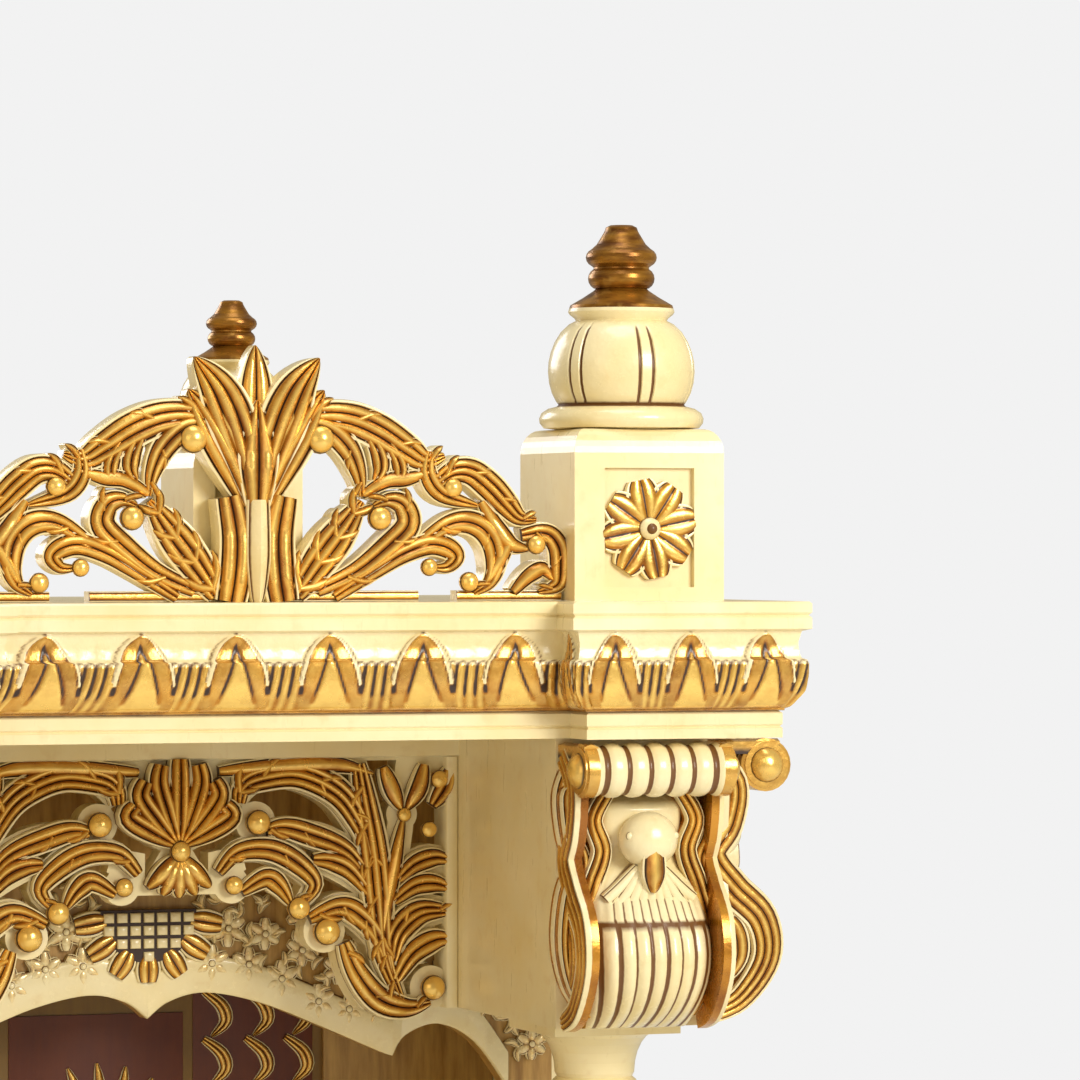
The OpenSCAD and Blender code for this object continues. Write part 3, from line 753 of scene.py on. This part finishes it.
def makeCorbel(node, x, y, z, turn, reach):
    piece = Carving(node + "_swan")
    board = Board(x, y, z, turn)
    look = corbelLook
    k = reach / look["frontReach"]
    half = look["rollHalf"]
    rollUp, rollOut = look["rollUp"], reach - look["rollBack"]
    # top roll, ribbed, with painted shade dark in the rib grooves, cream with gold ends
    cells = 120
    rings = []
    for i in range(cells + 1):
        u = -half + 2 * half * i / cells
        rib = 0.5 + 0.5 * math.cos(2 * pi * u / look["rollRib"])
        end = abs(u) > half - 12
        radius = look["rollRadius"] - (0 if end else 2.8 * (1 - rib) ** 2) - (3 if abs(u) > half - 1.5 else 0)
        cut = 0 if end else (1.0 if rib < 0.16 else 0.0)
        rings.append([(board.at(u, rollUp + radius * math.sin(a), rollOut + radius * math.cos(a)), cut,
                       1.0 if end else 0.0, 0.6) for a in [2 * pi * j / 24 for j in range(24)]])
    piece.loft(rings)
    # the body, ribbed on its belly below the neck, with painted shade dark in the rib grooves and in the
    # groove under the neck, and gold flanks
    across = 56
    line = smoothPath(look["body"], 6)
    rings = []
    for j in range(look["steps"] + 1):
        out, up = line[int(j / look["steps"] * (len(line) - 1))]
        out = out * reach / look["frontReach"]
        narrow = 0.80 + 0.20 * math.sin(pi * min(max(up / 140, 0), 1)) if up < 140 else 0.66
        w = look["bodyHalf"] * narrow
        ring = [(board.at(-w, up, 0), 0, 1, 0.3)]
        for i in range(across + 1):
            v = -1 + 2 * i / across
            crown = math.sqrt(max(1 - (abs(v) ** 2.6), 0))
            wave, cut, gild = 0.0, 0.0, 1.0 if i in (0, across) else 0.0
            if up < 92:
                rib = 0.5 + 0.5 * math.cos(2 * pi * v * 4.2)
                wave = -3.2 * (1 - rib) ** 2
                cut = 1.0 if rib < 0.17 else 0.0
            elif up < 97:
                cut, wave = 0.9, -1.5
            elif up < 128:
                rib = 0.5 + 0.5 * math.cos(2 * pi * v * 7)
                cut = 0.8 if rib < 0.3 and abs(v) < 0.75 else 0.0
                wave = -1.6 * (1 - rib)
            ring.append((board.at(w * v, up, max(out * (0.45 + 0.55 * crown) + wave, 0.5)), cut, gild, 0.5))
        ring.append((board.at(w, up, 0), 0, 1, 0.3))
        rings.append(ring)
    piece.loft(rings)
    # fan collar that flares below the head, its ribs' sides painted dark as painted shade
    for i in range(9):
        a = math.radians(-52 + 13 * i)
        carveRibbon(piece, board, [(math.sin(a) * 14, 150 - math.cos(a) * 10),
                                   (math.sin(a) * 34, 146 - math.cos(a) * 30),
                                   (math.sin(a) * 52, 144 - math.cos(a) * 46)], 12.5, rise=5,
                    front=36 * k + 10 * math.cos(a), back=12 * k, ridges=1, root=0.7, tip=0.95,
                    mirror=(1,), steps=5, gildTop=0, sideShade=0.8)
    # head and beak
    rings = []
    for i in range(15):
        a = -pi / 2 + pi * i / 14
        r = max(math.cos(a), 0.02)
        rings.append([(board.at(27 * r * math.cos(b), 168 + 25 * math.sin(a), 40 * k + 22 * r * math.sin(b)),
                       0, 0, 0.6) for b in [2 * pi * j / 24 for j in range(24)]])
    piece.loft(rings)
    carveRibbon(piece, board, [(0, 160), (0, 148), (0, 134), (0, 122)], 24, rise=12,
                front=48 * k, back=38 * k, ridges=1, root=0.8, tip=0.25, mirror=(1,), depth=0.2)
    for hand in (1, -1):
        # gold bar from the head block out to the roll, its underside painted dark as painted shade
        bar = []
        for out in (0.5, rollOut / 2, rollOut, rollOut + 13):
            under = 240 if out <= rollOut else 246
            bar.append([(board.at(hand * a, up, out), 0.9 if up == under else 0.0, 1.0, 0.6)
                        for a, up in ((57, under), (57, 251), (64, 253.5), (70, 251), (70, under))])
        piece.loft(bar)
        carveBall(piece, board, hand * 21, 172, 4, 50 * k, gild=0, mirror=(1,))
        # neck band that curls from the roll round the head to the breast
        carveRibbon(piece, board, [(hand * p, q) for p, q in look["neckBand"]], 19, rise=8,
                    front=22 * k + 6, back=4, ridges=2, root=0.8, tip=0.5, mirror=(1,), sideGild=1.0)
        # gold S-scroll with its leaf down each side of the corbel
        for depthIn, wide in [(10, 20), (30, 16)]:
            carveRibbon(piece, board, [(hand * 60, 240 - depthIn), (hand * 68, 206), (hand * 64, 170),
                                       (hand * 56, 148), (hand * 66, 116), (hand * 70, 76),
                                       (hand * 64, 40), (hand * 48, 12)], wide, rise=7,
                        front=depthIn * k * 0.7, back=0.5, ridges=2, root=0.9, tip=0.4, mirror=(1,),
                        sideGild=1.0)
    for hand in (1, -1):
        flank = Board(*(board.at(hand * 66, 0, 0)), turn + hand * pi / 2)
        carveRibbon(piece, flank, [(-hand * p * k, q) for p, q in look["flank"]], 34, rise=5, front=1,
                    back=-8, ridges=3, root=0.8, tip=0.5, mirror=(1,), sideGild=1.0)
        carveBall(piece, flank, -hand * rollOut, rollUp, 17, 0, mirror=(1,))
        carveRibbon(piece, flank, [(-hand * p * k, q) for p, q in look["flankLeaf"]], 26, rise=4, front=0,
                    back=-8, ridges=2, root=0.4, tip=0.4, mirror=(1,), sideGild=1.0)
    piece.finish("carved", replaces=(node,))


archLook = {
    # the cusp lies this far under the heads
    "cuspDrop": 11,
    # the border band's section: up, out and painted shade, dark along its lower edge
    "band": [(0, 0.5, 0), (0, 5, 0), (2, 6.5, 0), (30, 6.5, 0), (33, 6, 0.1), (35, 3, 0.8), (36, 0.5, 0.8)],
    # flowers and sprigs with their sides painted dark as painted shade, and part-gilded tops
    "relief": {"rise": 4, "front": 3, "back": 0, "sideShade": 1.0, "gildTop": 0.46},
    # across, up and size
    "flowers": [(62, 52, 15), (98, 50, 14), (130, 36, 15), (78, 84, 15), (114, 78, 13), (150, 62, 13),
                (166, 14, 14), (196, 6, 12), (150, 96, 13), (186, 44, 13), (218, 22, 12), (262, 44, 13),
                (296, 48, 14), (330, 30, 14), (362, 8, 15), (340, 66, 13), (376, 46, 14), (378, -26, 13),
                (240, 70, 13), (206, 84, 12), (305, 84, 12), (270, 96, 13), (372, 88, 13)],
    "sprigs": 34, "bowl": 46, "bowlUp": 100,
}


def makeArch():
    # the cusped arch's border band and its flower relief
    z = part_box("head_left")[0].z / mm - archLook["cuspDrop"]
    board = Board(0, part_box("arch_valance")[0].y, 0)
    piece = Carving("arch_relief")
    edge = smoothPath([(0, z), (22, z + 16), (57, z + 23), (110, z + 12), (170, z - 12), (225, z - 36),
                       (239, z - 41)], 6)
    outer = smoothPath([(239, z - 41), (252, z - 22), (284, z - 12), (321, z - 30), (354, z - 74)], 6)
    for line in (edge, outer):
        for hand in (1, -1):
            piece.loft([[(board.at(hand * px, pz + up, out), cut, 0, 0) for up, out, cut in archLook["band"]]
                        for px, pz in line])
    place = archLook["relief"]

    def flower(fx, fz, size):
        for i in range(6):
            a = 2 * pi * i / 6 + 0.5
            dx, dz = math.cos(a), math.sin(a)
            petal = [(fx + dx * 3, fz + dz * 3), (fx + dx * size * 0.5, fz + dz * size * 0.5),
                     (fx + dx * size, fz + dz * size)]
            carveRibbon(piece, board, petal, size * 0.8, ridges=1, root=0.4, tip=0.55, steps=3, **place)
        carveBall(piece, board, fx, fz, 4, 5, gild=0.3, rings=6, around=10)

    for fx, fz, size in archLook["flowers"]:
        flower(fx, z + fz - 8 + (6 if fx < 240 else 0), size * 1.15)
    for i in range(archLook["sprigs"]):
        # sprigs between the flowers
        fx = 52 + 10 * i
        bottom = edge if fx < 239 else outer
        base = min(bottom, key=lambda p: abs(p[0] - fx))[1] + 44
        for j in range(3):
            a = (i * 1.7 + j * 2.1) % (2 * pi)
            sx, sz = fx + 4 * math.sin(i * 2.3 + j), base + j * 26 + 8 * math.cos(i * 1.3 + j)
            if sx > 385:
                continue
            carveRibbon(piece, board, [(sx, sz), (sx + 8 * math.cos(a), sz + 8 * math.sin(a)),
                                       (sx + 15 * math.cos(a + 0.4), sz + 15 * math.sin(a + 0.4))], 7,
                        ridges=1, root=0.3, tip=0.1, steps=3, **place)
    # lattice basket, its cream tiles on a dark ground as painted shade between them, with petals under it, in
    # the middle; petal sides painted dark as painted shade
    bowl, rim = archLook["bowl"], z + archLook["bowlUp"]
    rings = []
    for i in range(19):
        t = -1 + 2 * i / 18
        bottom = rim - bowl * math.sqrt(max(1 - t * t, 0.0)) - 2
        rings.append([(board.at(bowl * t, zz, out), 1, 1, 0)
                      for zz, out in [(bottom, 0.5), (bottom, 9), (rim + 1, 9), (rim + 1, 0.5)]])
    piece.loft(rings)
    for i in range(7):
        for j in range(4):
            cx, cz = 12.8 * (i - 3), rim - 6 - 12 * j
            if (cx / bowl) ** 2 + ((rim - cz + 3) / bowl) ** 2 > 0.98:
                continue

            def tile(out, q):
                return [(board.at(cx + sx * q, cz + sz * q, out), 0, 0, 0)
                        for sx, sz in [(-4.8, -4.4), (4.8, -4.4), (4.8, 4.4), (-4.8, 4.4)]]

            piece.loft([tile(6, 1), tile(11, 1), tile(12, 0.8)])
    for i in range(7):
        a = math.radians(-78 + 26 * i)
        dx, dz = math.sin(a), -math.cos(a)
        carveRibbon(piece, board, [(dx * 42, rim + dz * 42), (dx * 56, rim + dz * 54),
                                   (dx * 72, rim + dz * 66)], 25, rise=6, front=5, back=0, ridges=2,
                    root=0.6, tip=0.75, mirror=(1,), depth=0.3, sideShade=1.0, gildTop=0.7)
    piece.finish("carved")


backLook = {
    "curlColumns": (118, 160, 200), "curls": 9, "curlStep": 46, "rays": 9, "rayDrop": 170,
    "stile": (226, 399, 262, 986),
}


def makeBackWall():
    # carved curls and rays over painted grounds on the back wall
    board = Board(0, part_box("back_wall")[0].y, 0)
    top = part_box("head_left")[0].z / mm
    piece = Carving("back_ornament")
    for x0 in backLook["curlColumns"]:
        for i in range(backLook["curls"]):
            zt = top - backLook["curlStep"] * i
            curl = [(x0 - 12, zt), (x0 + 6, zt - 14), (x0 + 10, zt - 30), (x0 - 4, zt - 44)]
            carveRibbon(piece, board, curl, 15, rise=4, front=1, back=-1, ridges=2, root=0.5, tip=0.2,
                        steps=4)
    middle = top - backLook["rayDrop"]
    for i in range(backLook["rays"]):
        a = math.radians(-64 + 16 * i)
        carveRibbon(piece, board, [(math.sin(a) * 14, middle + math.cos(a) * 14),
                                   (math.sin(a) * 60 + 5, middle + math.cos(a) * 60),
                                   (math.sin(a) * 104, middle + math.cos(a) * 104)], 15, rise=4,
                    front=2, back=-1, ridges=1, root=0.3, tip=0.2, mirror=(1,), steps=5)
    carveBall(piece, board, 0, middle, 16, 2, mirror=(1,))
    piece.finish("carved")
    # maroon grounds behind the ornaments, and stiles at the sides in the deeper tan that is painted shade
    x0, x1, z0, z1 = backLook["stile"]
    for name, paint, out, panels in [
            ("back_ground", "maroon", 1.5, [(96, 216, top - 440, top + 40), (-216, -96, top - 440, top + 40),
                                            (-86, 86, top - 230, top - 20)]),
            ("back_stiles", "tan", 6, [(x0, x1, z0, z1), (-x1, -x0, z0, z1)])]:
        ground = Carving(name)
        for left, right, foot, head in panels:
            section = [(left, 0), (left, out - 0.5), (left + 1, out), (right - 1, out), (right, out - 0.5),
                       (right, 0)]
            ground.loft([[(board.at(x, z, depth), 0, 0, 0) for x, depth in section] for z in (foot, head)])
        ground.finish(paint)


plinthLook = {
    "sunk": 6, "petals": 8, "flower": 40, "sideFlower": 34, "sideSpray": 28, "sideY": 168,
}


def makePlinthFlowers():
    # flowers and sprays set in the plinth's sunk panels
    piece = Carving("plinth_flowers")
    sunk = plinthLook["sunk"] * mm

    def rosette(board, size):
        for i in range(plinthLook["petals"]):
            a = 2 * pi * i / plinthLook["petals"]
            dx, dz = math.cos(a), math.sin(a)
            carveRibbon(piece, board, [(dx * 6, dz * 6), (dx * size * 0.5, dz * size * 0.5),
                                       (dx * size, dz * size)], size * 0.72, rise=5, front=1,
                        back=-1, ridges=1, root=0.35, tip=0.6, mirror=(1,), steps=4)
        carveBall(piece, board, 0, 0, 10, 3, gild=0, mirror=(1,))

    def sprays(board, size):
        for hand in (1, -1):
            line = [(hand * size, 0), (hand * size * 2, size * 0.5), (hand * size * 3.2, -size * 0.4),
                    (hand * size * 4.2, size * 0.2)]
            carveRibbon(piece, board, line, 14, rise=5, front=1, back=-1, ridges=2, root=0.5, tip=0.2,
                        mirror=(1,))
            for lobe in (1, -1):
                leafLobes(piece, board, line, 11, 20, 5, lobe, rise=4, front=1, back=-1, mirror=(1,))

    for side in ("left", "right"):
        low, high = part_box("plinth_die_" + side)
        x, z = (low.x + high.x) / 2, (low.z + high.z) / 2
        for y, turn in [(low.y + sunk, 0.0), (high.y - sunk, pi)]:
            rosette(Board(x, y, z, turn), plinthLook["flower"])
        outX = high.x - sunk if side == "right" else low.x + sunk
        for y in (-plinthLook["sideY"] * mm, plinthLook["sideY"] * mm):
            board = Board(outX, y, z, pi / 2 if side == "right" else -pi / 2)
            rosette(board, plinthLook["sideFlower"])
            sprays(board, plinthLook["sideSpray"])
    for node, turn in [("plinth_panel_front", 0.0), ("plinth_panel_back", pi)]:
        low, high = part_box(node)
        y = high.y - sunk if turn else low.y + sunk
        board = Board(0, y, (low.z + high.z) / 2, turn)
        rosette(board, plinthLook["flower"])
        sprays(board, plinthLook["flower"])
    piece.finish("carved")


# every plain board is cream but these
nodePaints = {
    "finial_left": "antique", "finial_right": "antique", "middle_finial": "antique", "back_wall": "olive",
    # the arch valance is cream, painted tan as painted shade
    "arch_valance": "tan",
}
for node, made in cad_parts.items():
    made.data.materials.clear()
    made.data.materials.append(paints[nodePaints.get(node, "cream")])

makeCrest()
makeCorniceSkin()
makeFrieze()
for side, name in ((-1, "left"), (1, "right")):
    makeTurret(name, "turret_box_" + name, 1.0)
    headLow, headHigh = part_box("head_" + name)
    middleX, middleY = (headLow.x + headHigh.x) / 2, (headLow.y + headHigh.y) / 2
    makeCorbel("corbel_front_" + name, middleX, headLow.y, headLow.z, 0.0, corbelLook["frontReach"])
    sideX = headHigh.x if side > 0 else headLow.x
    makeCorbel("corbel_side_" + name, sideX, middleY, headLow.z, side * pi / 2, corbelLook["sideReach"])
makeTurret("middle", "middle_turret_box", turretLook["middleScale"], flower=False)
makeArch()
makeBackWall()
makePlinthFlowers()


stageLook = {
    "distance": 5.4, "azimuth": math.radians(20), "target": Vector((0.290, -0.150, 1.162)), "lens": 200,
    "backdrop": (0.888, 0.888, 0.888), "ambient": 0.36, "shade": (1.0, 0.92, 0.76),
    "floor": (0.82, 0.82, 0.82), "floorSize": 9, "floorDrop": 0.0005,
    # name, place, size, power, aim and colour
    "lights": [("key", (1.7, -3.6, 2.4), 1.5, 124, (0.1, 0, 1.1), (1, 0.98, 0.92)),
               ("fill", (-2.6, -3.0, 1.6), 2.2, 20, (0, 0, 1.0), (1, 0.84, 0.58)),
               ("top", (0.2, -0.6, 4.2), 1.8, 36, (0, 0, 1.1), (1, 1, 1)),
               ("rear", (-1.5, 3.4, 2.4), 2.0, 60, (0, 0, 1.0), (1, 1, 1))],
}


def areaLight(name, place, size, power, aim, colour):
    data = bpy.data.lights.new(name, "AREA")
    data.energy = power
    data.size = size
    data.color = colour
    made = bpy.data.objects.new(name, data)
    made.location = place
    made.rotation_euler = (Vector(aim) - Vector(place)).to_track_quat("-Z", "Y").to_euler()
    bpy.context.scene.collection.objects.link(made)


def makeStage():
    # floor, world, lights and camera
    bpy.ops.mesh.primitive_plane_add(size=stageLook["floorSize"], location=(0, 0, -stageLook["floorDrop"]))
    floor = bpy.context.active_object
    floor.name = "floor"
    floor.data.transform(floor.matrix_world)
    floor.matrix_world.identity()
    made, _, shader, _ = newMaterial("paleFloor")
    shader.inputs["Base Color"].default_value = (*stageLook["floor"], 1)
    shader.inputs["Roughness"].default_value = 0.9
    floor.data.materials.append(made)
    world = bpy.data.worlds.new("studio")
    world.use_nodes = True
    bpy.context.scene.world = world
    tree = world.node_tree
    back = tree.nodes["Background"]
    back.inputs["Color"].default_value = (*stageLook["backdrop"], 1)
    soft = tree.nodes.new("ShaderNodeBackground")
    soft.inputs["Color"].default_value = (*stageLook["shade"], 1)
    soft.inputs["Strength"].default_value = stageLook["ambient"]
    rays = tree.nodes.new("ShaderNodeLightPath")
    blend = tree.nodes.new("ShaderNodeMixShader")
    tree.links.new(rays.outputs["Is Camera Ray"], blend.inputs[0])
    tree.links.new(soft.outputs[0], blend.inputs[1])
    tree.links.new(back.outputs[0], blend.inputs[2])
    tree.links.new(blend.outputs[0], tree.nodes["World Output"].inputs["Surface"])
    for light in stageLook["lights"]:
        areaLight(*light)
    data = bpy.data.cameras.new("camera")
    data.lens = stageLook["lens"]
    data.sensor_width = 36
    camera = bpy.data.objects.new("camera", data)
    turn = stageLook["azimuth"]
    away = Vector((-math.sin(turn), -math.cos(turn), 0)) * stageLook["distance"]
    camera.location = stageLook["target"] + away
    camera.rotation_euler = (pi / 2, 0, -turn)
    bpy.context.scene.collection.objects.link(camera)
    bpy.context.scene.camera = camera
    bpy.context.scene.view_settings.view_transform = "Standard"


makeStage()
print("stage made")
